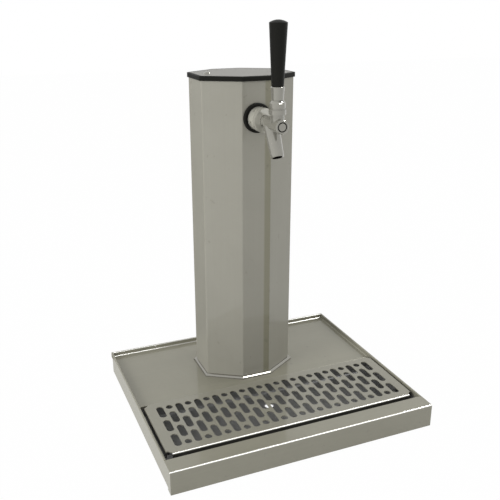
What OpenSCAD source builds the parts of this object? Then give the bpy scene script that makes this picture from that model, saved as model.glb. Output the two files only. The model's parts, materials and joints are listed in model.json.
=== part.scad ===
// Countertop beer tower: an eight-sided stainless column with one tap, on a drip pan
// Millimetres. The origin is at the centre of the pan's underside, +Z is up and the tap faces -Y

/* [Pan] */
// Overall width of the pan
pan_w = 460; // [430:5:500]
// Overall depth of the pan, front to back
pan_d = 393; // [385:1:430]
// Height of the pan's rim above the counter
pan_h = 41; // [39:0.5:46]
// Depth of the deck below the rim
deck_drop = 8.7; // [8:0.1:12]
// Thickness of the pan's sheet
pan_t = 1; // [0.8:0.1:1]
// Thickness of the rim, which is folded over on itself
hem_t = 3.4; // [3.1:0.1:5]
// Height by which the skirt is tucked up into the folded rim
skirt_tuck = 6; // [4:0.5:6]
// Width of the foot flange that is turned in under the pan
foot_w = 14; // [8:1:16]
// Depth of the flat strip in front of the well
strip_d = 31; // [26:1:36]
// Step down from the rim to the flat strip
strip_drop = 0.8; // [0.5:0.1:2]
// Bend radius along the strip's front edge
strip_r = 3.2; // [2:0.2:5]

/* [Drip well] */
// Length of the well, front to back
well_d = 169; // [160:1:172]
// Height of the well's underside above the counter
well_lift = 1.8; // [1.4:0.1:3]
// Inner bend radius along the well's floor
well_r = 6; // [3:0.5:9]
// Diameter of the drain hole
drain_d = 16.4; // [12:0.2:20]
// Distance of the drain hole from the well's front wall
drain_from_front = 128; // [100:1:145]
// Width of the ring that stiffens the drain hole
drain_ring_w = 5; // [3:0.5:8]

/* [Grille] */
// Thickness of the grille's sheet
grille_t = 1.5; // [1:0.1:2]
// Depth of the grille's face below the rim
grille_drop = 2; // [1:0.5:4]
// Mean gap between the grille and the rim at the sides
grille_gap_side = 4.1; // [2.5:0.1:6]
// Play that the loose grille has slid to the right
grille_off = 1.5; // [0:0.1:2]
// Gap in front of the grille
grille_gap_front = 12.5; // [8:0.5:16]
// Gap behind the grille
grille_gap_rear = 9.8; // [6:0.2:14]
// Height of the flanges that are bent down around the grille
grille_flange = 12; // [8:1:16]
// Outer radius of the grille's bends
grille_bend_r = 3; // [2.2:0.2:5]
// Leg of the corner notches of the grille
grille_notch = 9; // [6:1:12]
// Width of a long slot
slot_w = 12; // [8:0.5:12.5]
// Length of a long slot
slot_l = 33; // [24:1:34]
// Pitch of the slot columns
slot_pitch = 33.1; // [30:0.1:40]
// Pitch of the slots along a column
row_pitch = 41.6; // [38:0.2:44]
// Diameter of the small holes
hole_d = 11.7; // [8:0.1:12.5]
// Least land at each end of the slot pattern
slot_edge = 15; // [12:1:17]

/* [Grille rests] */
// Length of a rest along the well's side wall
rest_l = 26; // [18:1:40]
// Width of a rest's ledge
rest_w = 15; // [12:1:20]
// Sheet thickness of a rest
rest_t = 1.5; // [1:0.1:2]
// Distance of a rest from the grille's corner notch
rest_set = 8; // [4:1:20]
// Height of a rest's upright leg
rest_leg = 12; // [8:1:16]

/* [Tower] */
// Share of the deck's free depth that lies in front of the tower
tower_set = 0.28; // [0.1:0.01:0.9]
// Height of the column from the deck to the cap
column_h = 531; // [500:1:600]
// Width of the column across its side faces
tower_w = 164; // [158:1:176]
// Depth of the column, front face to rear face
tower_depth = 134; // [122:1:140]
// Width of the column's front and rear faces
tower_front_w = 51.5; // [46:0.5:58]
// Width of the column's side faces
tower_side_w = 63.5; // [56:0.5:68]
// Thickness of the column's sheet
tower_t = 1.5; // [1.2:0.1:2]
// Outer radius of the column's bends
tower_r = 4; // [3:0.5:6]
// Height of the collar around the column's foot
collar_h = 5; // [4:0.5:12]
// Width of the collar's ledge
collar_w = 5; // [4:0.5:8]
// Radius of the collar's outer edge
collar_r = 4.8; // [2:0.2:5]
// Thickness of the plate inside the column's foot
foot_plate_t = 4; // [3:0.5:6]
// Thread diameter of the studs
stud_d = 6; // [5:1:8]
// Distance between the studs, side to side
stud_span_x = 112; // [100:1:116]
// Distance between the studs, front to back
stud_span_y = 56; // [48:1:60]
// Diameter of the hole for the beer line in the deck and the foot plate
line_hole_d = 64; // [50:1:70]

/* [Cap] */
// Height of the cap above the column
cap_h = 7.6; // [7:0.2:12]
// Overhang of the cap around the column
cap_over = 2.5; // [2:0.5:3.5]
// Width of the black band around the cap's plate
cap_band = 4; // [3.8:0.2:7]
// Thickness of the cap's steel plate
cap_plate_t = 1; // [0.8:0.1:1.5]
// Radius of the cap's outer edge
cap_r = 1.6; // [0.8:0.2:2.6]
// Wall thickness of the cap moulding
cap_t = 2.5; // [2:0.1:3.5]
// Depth of the cap's skirt inside the column
cap_skirt = 10; // [6:1:14]
// Head diameter of the cap screws
cap_screw_head = 11; // [8:0.5:12]
// Shank diameter of the cap screws
cap_screw_d = 5; // [4:0.5:5.5]
// Distance between the cap screws
cap_screw_span = 120; // [112:1:122]
// Width of the brackets that hold the cap
bracket_w = 24; // [18:1:30]

/* [Beer line] */
// Outer diameter of the beer line
line_d = 11; // [10:0.5:12.5]
// Bore of the beer line
line_bore = 6; // [5:0.2:7]
// Bend radius of the line's centre below the tap
line_bend = 32; // [28:1:40]
// Height of the line's lower end above the counter
line_end = 4; // [2:0.5:10]
// Bore of the flared lower end
flare_bore = 6.6; // [6.2:0.2:8]
// Length of the flared lower end
flare_l = 16; // [10:1:30]
// Height of the foam block's top below the tap's axis
foam_below = 50; // [45:1:80]

/* [Tap shank] */
// Distance of the tap's axis below the column's top
shank_drop = 58.3; // [50:0.1:80]
// Thread diameter of the shank
shank_d = 22.2; // [20:0.2:24]
// Bore of the shank
shank_bore = 6.4; // [5:0.2:8]
// Diameter of the shank's head
shank_head = 28.6; // [27:0.2:30]
// Length of the shank inside the column
shank_in = 24; // [20:1:28]
// Diameter of the black wall flange
flange_d = 48; // [44:0.5:49]
// Thickness of the wall flange
flange_t = 5; // [4.5:0.5:8]
// Diameter of the wall flange's step
flange_step_d = 37; // [34:0.5:40]
// Thickness of the wall flange's step
flange_step_t = 2.5; // [2:0.5:5]
// Diameter of the coupling nut
nut_d = 39; // [36:0.5:42]
// Length of the coupling nut
nut_l = 25.5; // [24:0.5:28]
// Diameter of the spanner holes in the coupling nut
spanner_d = 4.6; // [3:0.2:6]
// Width across flats of the locknut inside the column
locknut_af = 32; // [30:1:36]
// Thickness of the locknut
locknut_t = 6; // [4:0.5:8]
// Width across flats of the tail nut
tail_nut_af = 27; // [25:1:30]

/* [Tap body] */
// Distance from the column to the lever's axis
reach = 76.8; // [76:0.2:86]
// Distance from the lever's axis to the front of the barrel
nose = 19; // [18.4:0.2:24]
// Outer diameter of the barrel
barrel_d = 21.6; // [20.8:0.2:24]
// Outer diameter of the neck behind the barrel
neck_d = 18.4; // [17:0.2:18.8]
// Bore that the shaft runs in
shaft_bore = 13; // [12.4:0.2:13.6]
// Bore behind the shaft's guide
throat_bore = 10; // [8.6:0.2:10.4]
// Angle of the spout from the vertical
spout_angle = 28; // [22:1:34]
// Height of the tap's axis above the spout's mouth
spout_fall = 49; // [44:1:60]
// Distance from the column to the spout's mouth
spout_reach = 79.8; // [77:0.2:88]
// Outer diameter of the spout's mouth
spout_d = 20.4; // [19:0.2:22]
// Outer diameter of the spout's thickest part
spout_root_d = 24.4; // [23:0.2:26]
// Bore of the spout's mouth
spout_bore = 15.8; // [14:0.2:16.4]
// Length of the straight bore at the mouth
spout_mouth_l = 12; // [8:1:16]

/* [Lever and handle] */
// Height of the lever's pivot above the tap's axis
pivot_up = 27; // [26:0.5:30]
// Diameter of the lever's ball
ball_d = 17; // [16:0.2:17.6]
// Length of the lever's arm below the pivot
arm_l = 25; // [24:0.5:26]
// Angle of the lower arm at rest, ahead of the pivot
arm_lean = 15; // [12:0.5:16]
// Swing of the handle from shut to open
lever_swing = 30; // [24:1:31]
// Diameter of the arm above its tip
arm_d = 4; // [3:0.1:4.2]
// Diameter of the arm's tip
tip_d = 6; // [5:0.1:6.4]
// Diameter of the lever's neck
lever_neck_d = 6.4; // [5:0.1:7]
// Diameter of the handle thread
stud_top_d = 9.5; // [8:0.1:10]
// Diameter of the bonnet's round part
bonnet_d = 24.6; // [24:0.2:26]
// Diameter of the cup that holds the lever's bushing
cup_d = 26.6; // [26:0.2:29]
// Diameter of the boss under the cup
boss_d = 20.8; // [19.6:0.2:21.4]
// Radius of the bonnet's domed shoulder about the pivot
shoulder_r = 14; // [13.4:0.1:14.4]
// Height of the ferrule's top above the pivot
ferrule_top = 30.6; // [28:0.2:36]
// Diameter of the ferrule's top
ferrule_d = 21; // [19:0.2:23]
// Diameter of the ferrule's lower end
ferrule_low_d = 18.4; // [16:0.2:19]
// Height of the handle
handle_h = 95; // [80:1:120]
// Diameter of the handle's lower end
handle_low_d = 18.6; // [16:0.2:21]
// Diameter of the handle's upper end
handle_top_d = 27.6; // [24:0.2:34]
// Height of the handle's domed top
handle_dome = 4; // [2:0.5:8]
// Outer diameter of the handle's threaded insert
insert_d = 13.4; // [12:0.2:14]
// Length of the handle's threaded insert
insert_l = 20; // [14:1:26]

/* [Hidden] */
$fn = 64;

// Radial clearance of a running or screwed fit
fit = 0.05;
// Clearance between pieces that move past each other
free = 0.3;
// Overlap of cutting shapes past the faces that they open
cut = 1;
// Flats that stand for an arc in the outlines that are polygons
arc_steps = 5;
// Least corner radius of the tower's drawn-in outlines
least_r = 0.8;
// Length by which the walls of one folded or welded piece reach into each other
lap = pan_t/2;
// Least flat beside a rounded edge
edge_land = 0.2;
// Bevel of the turned edges
bevel = 0.8;
// Angle that the lever's slots leave free past each end of the swing
slot_slack = 0.5;

// Colours as the finishes look
steel = [0.60, 0.59, 0.54];
bright = [0.78, 0.78, 0.76];
black = [0.10, 0.10, 0.10];
rubber = [0.07, 0.07, 0.07];
brass = [0.72, 0.58, 0.32];
foam_grey = [0.86, 0.84, 0.74];
clear_hose = [0.85, 0.88, 0.88];

// Pan
front_y = -pan_d/2;
deck_z = pan_h - deck_drop;
rim_x = pan_w/2;
well_x = rim_x - hem_t;
well_y0 = front_y + strip_d;
well_y1 = well_y0 + well_d;
strip_z = pan_h - strip_drop;
skirt_x = well_x + 2*pan_t;
skirt_y = pan_d/2 - hem_t + 2*pan_t;
deck_under = deck_z - pan_t;
floor_z = well_lift + pan_t;
drain_y = well_y0 + drain_from_front;

// Grille
grille_w = 2*(well_x - grille_gap_side);
grille_y0 = well_y0 + grille_gap_front;
grille_y1 = well_y1 - grille_gap_rear;
grille_mid_y = (grille_y0 + grille_y1)/2;
grille_z = pan_h - grille_drop;
grille_low = grille_z - grille_flange;
slot_columns = floor((grille_w - 2*slot_edge - slot_w)/slot_pitch) + 1;

// Tower
// Free depth of the deck, in front of and behind the tower's collar together
deck_spare = pan_d/2 - hem_t - well_y1 - tower_depth - 2*collar_w;
tower_y0 = well_y1 + collar_w + tower_set*deck_spare;
tower_mid_y = tower_y0 + tower_depth/2;
column_top = deck_z + column_h;
diag_x = (tower_w - tower_front_w)/2;
diag_y = (tower_depth - tower_side_w)/2;
diag_l = norm([diag_x, diag_y]);
diag_nx = diag_y/diag_l;
diag_ny = diag_x/diag_l;
diag_reach = diag_nx*tower_front_w/2 + diag_ny*tower_depth/2;
plate_top = deck_z + foot_plate_t;
// Steel washers and nuts under the deck
washer_t = 1.6;
washer_d = 2.1*stud_d;
stud_nut_t = 0.85*stud_d;
stud_nut_af = 1.66*stud_d;
stud_past = 2;
stud_hole = stud_d + 0.8;

// Cap
cap_top = column_top + cap_h;
// Depth of the plate's face below the black band
plate_below = 0.1;
screw_dome = 3;
screw_len = 18;
bracket_t = 2;
bracket_leg = 16;
bracket_boss = 4;
bracket_z = column_top - cap_skirt - 1;

// Tap, measured forward from the column's front face and up from the tap's axis
tap_z = column_top - shank_drop;
flange_r = 2;
flange_front = flange_t + flange_step_t;
nut_gap = 0.5;
nut_back = flange_front + nut_gap;
nut_front = nut_back + nut_l;
// Steps turned on the coupling nut: their depth, the grooves and the front ring
nut_step = 0.8;
nut_groove_w = 1;
nut_ring_w = 2.8;
nut_land = nut_front - nut_step - nut_ring_w - nut_groove_w;
spanner_holes = 6;
spanner_turn = 10;
spanner_depth = 2.6;
lip_t = 4.5;
body_flange_t = 3.5;
body_flange_d = shank_head - 0.8;
body_back = nut_front - lip_t - body_flange_t;
washer_gap = 1.5;
head_front = body_back - washer_gap;
nose_front = reach + nose;
shank_pocket_d = 16;
shank_pocket_l = 18;
shank_pocket = head_front - shank_pocket_l;
// Neck in front of the nut, and the swell from the neck to the barrel
neck_l = 3;
swell_l = 12;
// Top of the spout, where it swells out of the barrel, and the band at its mouth
spout_root_l = 9;
spout_root_r = 3;
mouth_band = 3;
mouth_step = 0.2;
throat_step = 1;
spout_len = spout_fall/cos(spout_angle);
spout_back = spout_reach - spout_fall*tan(spout_angle);
pivot_z = tap_z + pivot_up;
pivot_y = tower_y0 - reach;
tip_rest = arm_l*sin(arm_lean);
lever_travel = arm_l*(sin(arm_lean) + sin(lever_swing - arm_lean));
// Plug in the barrel's front, and the groove for its ring
plug_l = 5.5;
plug_proud = 0.4;
plug_face_d = shaft_bore - 1.8;
ring_seat = 2.4;
ring_w = 1.2;
ring_r = 0.78;
guide_front = nose_front - plug_l - free;
// Length of the shaft's guide behind the lever's tip, and its room past the travel
guide_past = 7.4;
guide_room = 4;
guide_back = reach + tip_rest - guide_past;
bore_back = guide_back - lever_travel - guide_room;
seal_d = 13;
seal_t = 3;
seal_front = body_back - free;
seal_back = seal_front - seal_t;
stem_d = 5;
// Thinner end of the stem, which takes the seal and its nut
stem_end_d = 3.4;
stem_end_l = 4;
seal_nut_t = 2.2;
seal_nut_af = 6;
// Pocket in the shaft for the lever's tip, and its widened mouth
tip_play = 0.7;
mouth_w = 4.4;
mouth_depth = 2.4;
// Room around the lower arm in its slot
arm_room = 1;
// Bead around the boss, and bevel of the cup
boss_bead = 1.2;
cup_bevel = 0.7;
// Heights of the cup's underside, floor and rim, which keep their distance from the pivot
cup_depth = 10;
cup_base_t = 0.5;
cup_floor = pivot_up - cup_depth;
cup_low = cup_floor - cup_base_t;
cup_top = pivot_up - 2.6;
cup_bore = 21.2;
bushing_t = 5;
bushing_top = cup_floor + bushing_t;
bushing_bore = 11;
bonnet_play = 0.2;
bonnet_low = bushing_top + bonnet_play;
// Height above the pivot where the bonnet widens
bonnet_round = -0.4;
ferrule_gap = 0.35;
lever_neck_past = 2;
stud_short = 3;
handle_z = pivot_z + ferrule_top;

// Tail of the shank and the beer line, measured back from the column's front face
tail_bore = 4;
tail_flange_d = 18;
tail_flange_t = 3;
tail_washer_t = 2;
tail_nut_l = 13;
tail_lip_t = 3;
tail_barb_l = 22;
tail_neck_d = line_bore + 3;
// Length of the tail piece that the line covers, and the line's straight run past it
tail_grip = 14;
tail_past = 2;
clamp_set = 8;
clamp_w = 8;
clamp_t = 1.2;
clamp_screw = [10, 5.5, 7];
shank_back = shank_in;
tail_back = shank_back + tail_washer_t + tail_flange_t + tail_barb_l;
line_start = tail_back - tail_grip;
line_y = tower_y0 + tail_back + tail_past + line_bend;
clamp_y = tower_y0 + tail_back - clamp_set;

// Corner between the front face and a diagonal of the outline drawn in by i
function front_corner(i) = [
    (diag_reach - i - diag_ny*(tower_depth/2 - i))/diag_nx,
    tower_depth/2 - i];

// Corner between a diagonal and a side face of the outline drawn in by i
function side_corner(i) = [
    tower_w/2 - i,
    (diag_reach - i - diag_nx*(tower_w/2 - i))/diag_ny];

// The eight corners of the outline drawn in by i, anticlockwise from the front right
function corners(i) = let (f = front_corner(i), s = side_corner(i)) [
    [f.x, -f.y], [s.x, -s.y], [s.x, s.y], [f.x, f.y],
    [-f.x, f.y], [-s.x, s.y], [-s.x, -s.y], [-f.x, -f.y]];

// Outward directions of the eight faces, in the same order
face_dirs = [
    [diag_nx, -diag_ny], [1, 0], [diag_nx, diag_ny], [0, 1],
    [-diag_nx, diag_ny], [-1, 0], [-diag_nx, -diag_ny], [0, -1]];

// Points of an arc about c, r wide, from angle a0 through the angle turn
function arc(c, r, a0, turn) = [
    for (j = [0:arc_steps])
        c + r*[cos(a0 + turn*j/arc_steps), sin(a0 + turn*j/arc_steps)]];

// Outward angle of face k
function face_angle(k) = atan2(face_dirs[k%8].y, face_dirs[k%8].x);

// Angle that the outline turns through at corner k
function corner_turn(k) = acos(face_dirs[k]*face_dirs[(k + 7)%8]);

// The tower's outline drawn in by i, with corners that stay concentric with the column's bends
module octagon(i) {
    r = max(tower_r - i, least_r);
    c = corners(i + r);
    polygon([for (k = [0:7]) each arc(c[k], r, face_angle(k + 7), corner_turn(k))]);
}

// A prism on the tower's outline, in place
module tower_prism(z0, z1, i)
    translate([0, tower_mid_y, z0])
        linear_extrude(z1 - z0)
            octagon(i);

// A plinth that stands out from the column's wall by w on all sides, with a round top edge
module round_edge_plinth(z, w, h, r) {
    e = min(r, w - edge_land, h - edge_land);
    section = concat([[-2*tower_w, 0], [w, 0]], arc([w - e, h - e], e, 0, 90), [[-2*tower_w, h]]);
    translate([0, tower_mid_y, z])
        intersection_for (k = [0:7])
            translate(corners(0)[k])
                rotate(face_angle(k))
                    rotate([90, 0, 0])
                        linear_extrude(3*tower_w, center = true)
                            polygon(section);
}

// Places its children on the tap's axis, with their +Z forward out of the column
module on_tap_axis()
    translate([0, tower_y0, tap_z])
        rotate([90, 0, 0])
            children();

// Places its children at the lever's pivot
module on_pivot()
    translate([0, pivot_y, pivot_z])
        children();

// A ring between two places along Z
module tube(z0, z1, d_out, d_in)
    translate([0, 0, z0])
        difference() {
            cylinder(h = z1 - z0, d = d_out);
            translate([0, 0, -cut])
                cylinder(h = z1 - z0 + 2*cut, d = d_in);
        }

// A hexagonal bar between two places along Z
module hexagon(z0, z1, across_flats)
    translate([0, 0, z0])
        cylinder(h = z1 - z0, d = across_flats/cos(30), $fn = 6);

// A round bar between two places along Z
module bar(z0, z1, d)
    translate([0, 0, z0])
        cylinder(h = z1 - z0, d = d);

// A dome of diameter d and height h, the top slice of a ball
module dome(d, h) {
    r = (d*d/4 + h*h)/(2*h);
    intersection() {
        cylinder(h = h, d = d);
        translate([0, 0, h - r])
            sphere(r);
    }
}

// A box between two corners
module block(low, high)
    translate(low)
        cube(high - low);

// Outline of a slot with round ends
module slot(w, l) {
    square([w, l - w], center = true);
    for (s = [-1, 1])
        translate([0, s*(l - w)/2])
            circle(d = w);
}

// Places its children at both signs of x and y
module four(x, y)
    for (sx = [-1, 1], sy = [-1, 1])
        translate([sx*x, sy*y, 0])
            children();

// Profile of the folded rim: a doubled sheet with a round top, from the deck to the rim's top
module hem_profile(low) {
    r = hem_t/2;
    difference() {
        union() {
            translate([r, pan_h - r])
                circle(r);
            translate([0, low])
                square([hem_t, pan_h - r - low]);
        }
        translate([r, pan_h - r])
            circle(r - pan_t);
        translate([pan_t, low - cut])
            square([hem_t - 2*pan_t, pan_h - r - low + cut]);
    }
}

// Folded rim of one side, with its outer face on the pan's outline
module side_hem(y0, y1)
    translate([rim_x, y1, 0])
        rotate([90, 0, 0])
            mirror([1, 0, 0])
                linear_extrude(y1 - y0)
                    hem_profile(deck_under);

// The pan: deck, folded rims, front strip and front apron in one folded sheet
module tray_pan() color(steel) {
    difference() {
        block([-well_x - lap, well_y1, deck_under], [well_x + lap, pan_d/2 - hem_t + lap, deck_z]);
        translate([0, tower_mid_y, 0]) {
            bar(0, pan_h, line_hole_d);
            four(stud_span_x/2, stud_span_y/2)
                bar(0, pan_h, stud_hole);
        }
    }
    for (s = [0, 1])
        mirror([s, 0, 0])
            side_hem(well_y0, pan_d/2);
    translate([-well_x - lap, pan_d/2, 0])
        rotate([90, 0, 90])
            mirror([1, 0, 0])
                linear_extrude(2*(well_x + lap))
                    hem_profile(deck_under);
    front_fold();
    for (s = [0, 1])
        mirror([s, 0, 0])
            front_end();
    block([-rim_x + lap, front_y + lap, 0], [rim_x - lap, front_y + foot_w, pan_t]);
}

// Side view of the front apron and the flat strip, as one solid outline with a round corner
module front_outline() {
    translate([strip_r, strip_z - strip_r])
        circle(strip_r);
    square([strip_d, strip_z - strip_r]);
    translate([strip_r, 0])
        square([strip_d - strip_r, strip_z]);
}

// The front apron and the flat strip behind it, bent from one sheet
module front_fold()
    translate([-rim_x, front_y, 0])
        rotate([90, 0, 90])
            linear_extrude(2*rim_x)
                difference() {
                    front_outline();
                    translate([strip_r, strip_z - strip_r])
                        circle(strip_r - pan_t);
                    translate([pan_t, -cut])
                        square([strip_d, strip_z - strip_r + cut]);
                    translate([strip_r, -cut])
                        square([strip_d, strip_z - pan_t + cut]);
                }

// The end wall that closes the fold at one side and runs on into the rim
module front_end()
    translate([rim_x - pan_t, front_y, 0])
        rotate([90, 0, 90])
            linear_extrude(pan_t)
                difference() {
                    union() {
                        front_outline();
                        square([strip_d + lap, strip_z - strip_r]);
                    }
                    translate([foot_w, -cut])
                        square([strip_d, deck_under + cut]);
                }

// The skirt that carries the deck at the sides and the rear, with its foot flange
module tray_skirt() color(steel) {
    side_y0 = front_y + foot_w + free;
    inner_x = skirt_x - pan_t;
    inner_y = skirt_y - pan_t;
    tuck_z = deck_under + skirt_tuck;
    for (s = [0, 1])
        mirror([s, 0, 0]) {
            block([inner_x, side_y0, 0], [skirt_x, skirt_y, deck_under]);
            block([inner_x, well_y0, deck_under - lap], [skirt_x, pan_d/2 - hem_t, tuck_z]);
            block([skirt_x - foot_w, side_y0, 0], [inner_x + lap, inner_y + lap, pan_t]);
        }
    block([-inner_x - lap, inner_y, 0], [inner_x + lap, skirt_y, deck_under]);
    block([-well_x, inner_y, deck_under - lap], [well_x, skirt_y, tuck_z]);
    block([-skirt_x + foot_w - lap, skirt_y - foot_w, 0], [skirt_x - foot_w + lap, inner_y + lap, pan_t]);
}

// Cross-section of the well along Y: front wall, floor and rear wall with bent corners
module well_section(rear_top, front_top) {
    outer = well_r + pan_t;
    difference() {
        union() {
            for (x = [outer - pan_t, well_d + pan_t - outer])
                translate([x, well_lift + outer])
                    circle(outer);
            translate([outer - pan_t, well_lift])
                square([well_d + 2*pan_t - 2*outer, outer]);
            translate([-pan_t, well_lift + outer])
                square([pan_t, front_top - well_lift - outer]);
            translate([well_d, well_lift + outer])
                square([pan_t, rear_top - well_lift - outer]);
        }
        for (x = [well_r, well_d - well_r])
            translate([x, floor_z + well_r])
                circle(well_r);
        translate([well_r, floor_z])
            square([well_d - 2*well_r, outer + cut]);
        translate([0, floor_z + well_r])
            square([well_d, outer + cut]);
    }
}

// The drip well: a folded trough with two end walls, welded under the opening
module drip_well() color(steel) difference() {
    union() {
        translate([-well_x, well_y0, 0])
            rotate([90, 0, 90])
                linear_extrude(2*well_x)
                    well_section(deck_under, strip_z - pan_t);
        for (s = [0, 1])
            mirror([s, 0, 0])
                block([well_x, well_y0 - pan_t, well_lift],
                    [well_x + pan_t, well_y1 + pan_t, deck_under]);
    }
    translate([0, drain_y, 0])
        bar(-cut, floor_z + cut, drain_d);
}

// Ring welded under the floor around the drain hole
module drain_ring() color(steel)
    translate([0, drain_y, 0])
        tube(0, well_lift, drain_d + 2*drain_ring_w, drain_d);

// One angle that carries a corner of the grille, on the well's side wall
module rest_angle(y0) {
    block([well_x - rest_w, y0, grille_low - rest_t], [well_x, y0 + rest_l, grille_low]);
    block([well_x - rest_t, y0, grille_low - rest_leg], [well_x, y0 + rest_l, grille_low - rest_t]);
}

// The four angles welded in the well that the grille stands on
module grille_rests() color(steel)
    for (s = [0, 1])
        mirror([s, 0, 0]) {
            rest_angle(grille_y0 + grille_notch + rest_set);
            rest_angle(grille_y1 - grille_notch - rest_set - rest_l);
        }

// Profile of the grille across a pair of flanges, w wide outside
module grille_profile(w) {
    r = grille_bend_r;
    difference() {
        union() {
            for (x = [r, w - r])
                translate([x, grille_z - r])
                    circle(r);
            translate([r, grille_z - r])
                square([w - 2*r, r]);
            translate([0, grille_low])
                square([w, grille_flange - r]);
        }
        for (x = [r, w - r])
            translate([x, grille_z - r])
                circle(r - grille_t);
        translate([r, grille_low])
            square([w - 2*r, grille_flange - grille_t]);
        translate([grille_t, grille_low - cut])
            square([w - 2*grille_t, grille_flange - r + cut]);
    }
}

// Slots and small holes of the grille, as an outline about its middle
module grille_slots() {
    first = -(slot_columns - 1)*slot_pitch/2;
    hole_row = 1.25;
    for (c = [0:slot_columns - 1], row = [-1:1])
        translate([first + c*slot_pitch, row*row_pitch])
            slot(slot_w, slot_l);
    for (c = [0:slot_columns - 2], s = [-1, 1]) {
        translate([first + (c + 0.5)*slot_pitch, s*row_pitch/2])
            slot(slot_w, slot_l);
        translate([first + (c + 0.5)*slot_pitch, s*hole_row*row_pitch])
            circle(d = hole_d);
    }
}

// The lift-out grille: a slotted sheet with four flanges and notched corners
module grille() color(steel) {
    w = grille_w;
    d = grille_y1 - grille_y0;
    n = grille_notch;
    r = grille_bend_r;
    translate([grille_off, grille_mid_y, 0]) {
        translate([0, 0, grille_z - grille_t])
            linear_extrude(grille_t)
                difference() {
                    square([w - 2*r, d - 2*r], center = true);
                    grille_slots();
                    four(w/2 - r, d/2 - r)
                        rotate(45)
                            square((n - r)*sqrt(2), center = true);
                }
        for (s = [0, 1]) {
            mirror([0, s, 0])
                flange_strip(w - 2*n, d);
            rotate(90)
                mirror([0, s, 0])
                    flange_strip(d - 2*n, w);
        }
    }
}

// One flange of the grille with its bend, l long, on a sheet d deep
module flange_strip(l, d)
    translate([-l/2, -d/2, 0])
        rotate([90, 0, 90])
            linear_extrude(l)
                intersection() {
                    grille_profile(d);
                    square([grille_bend_r + lap, pan_h]);
                }

// The column: one folded sheet with the tap's hole in its front face
module tower_column() color(steel) difference() {
    tower_prism(deck_z, column_top, 0);
    tower_prism(deck_z - cut, column_top + cut, tower_t);
    on_tap_axis()
        bar(-2*tower_t, cut, shank_d + 2*fit);
}

// The collar around the column's foot, with a round outer edge and mitred corners
module base_collar() color(steel) difference() {
    round_edge_plinth(deck_z, collar_w, collar_h, collar_r);
    tower_prism(deck_z - cut, deck_z + collar_h + cut, 0);
}

// The plate welded inside the column's foot, which the studs stand in
module foot_plate() color(steel) difference() {
    tower_prism(deck_z, plate_top, tower_t);
    translate([0, tower_mid_y, 0]) {
        bar(0, plate_top + cut, line_hole_d);
        four(stud_span_x/2, stud_span_y/2)
            bar(0, plate_top + cut, stud_d + 2*fit);
    }
}

// Height where a stud ends under its nut
stud_low = deck_z - pan_t - washer_t - stud_nut_t - stud_past;

// The four studs that hold the tower on the deck
module tower_studs() color(bright)
    translate([0, tower_mid_y, 0])
        four(stud_span_x/2, stud_span_y/2)
            bar(stud_low, plate_top, stud_d);

// The four washers under the deck
module stud_washers() color(bright)
    translate([0, tower_mid_y, 0])
        four(stud_span_x/2, stud_span_y/2)
            tube(deck_z - pan_t - washer_t, deck_under, washer_d, stud_d + 2*fit);

// The four nuts under the washers
module stud_nuts() color(bright)
    translate([0, tower_mid_y, 0])
        four(stud_span_x/2, stud_span_y/2)
            difference() {
                hexagon(stud_low + stud_past, deck_z - pan_t - washer_t, stud_nut_af);
                bar(0, deck_z, stud_d + 2*fit);
            }

// The foam block that insulates the beer line in the column
module column_foam() color(foam_grey) difference() {
    tower_prism(plate_top, tap_z - foam_below, tower_t + free);
    translate([0, line_y, plate_top - cut])
        cylinder(h = column_h, d = line_d + 2*free);
}

// The moulded cap: a rim over the column's edge, with a recess for the plate and a skirt inside
module tower_cap() color(black) difference() {
    union() {
        intersection() {
            round_edge_plinth(column_top, cap_over, cap_h, cap_r);
            tower_prism(column_top - cut, cap_top + cut, -cap_over - fit);
        }
        tower_prism(column_top - cap_skirt, column_top + cut, tower_t + free);
    }
    tower_prism(cap_top - cap_plate_t, cap_top + cut, cap_band - cap_over);
    tower_prism(column_top - cap_skirt - cut, cap_top - cap_plate_t - cap_t, tower_t + free + cap_t);
    translate([0, tower_mid_y, 0])
        for (s = [-1, 1])
            translate([s*cap_screw_span/2, 0, column_top - cap_skirt])
                cylinder(h = cap_h + cap_skirt, d = cap_screw_d + 2*free);
}

// The steel plate on the cap, a little below the black band
module cap_plate() color(steel) difference() {
    tower_prism(cap_top - cap_plate_t, cap_top - plate_below, cap_band - cap_over + free/2);
    translate([0, tower_mid_y, 0])
        for (s = [-1, 1])
            translate([s*cap_screw_span/2, 0, 0])
                bar(cap_top - cap_plate_t - cut, cap_top + cut, cap_screw_d + 2*free);
}

// The two brackets welded in the column that the cap screws go into
module cap_brackets() color(steel)
    translate([0, tower_mid_y, 0])
        for (s = [0, 1])
            mirror([s, 0, 0])
                difference() {
                    union() {
                        block([cap_screw_span/2 - bracket_leg/2, -bracket_w/2, bracket_z - bracket_t],
                            [tower_w/2 - tower_t, bracket_w/2, bracket_z]);
                        block([tower_w/2 - tower_t - bracket_t, -bracket_w/2,
                            bracket_z - bracket_t - bracket_leg],
                            [tower_w/2 - tower_t, bracket_w/2, bracket_z - bracket_t]);
                        translate([cap_screw_span/2, 0, 0])
                            bar(bracket_z - bracket_t - bracket_boss, bracket_z - bracket_t, 2*cap_screw_d);
                    }
                    translate([cap_screw_span/2, 0, 0])
                        bar(bracket_z - bracket_t - bracket_boss - cut, bracket_z + cut,
                            cap_screw_d + 2*fit);
                }

// The two dome-head screws that hold the cap
module cap_screws() color(bright)
    translate([0, tower_mid_y, cap_top - plate_below])
        for (s = [-1, 1])
            translate([s*cap_screw_span/2, 0, 0]) {
                dome(cap_screw_head, screw_dome);
                translate([0, 0, -cap_h - screw_len])
                    cylinder(h = cap_h + screw_len, d = cap_screw_d);
            }

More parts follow.
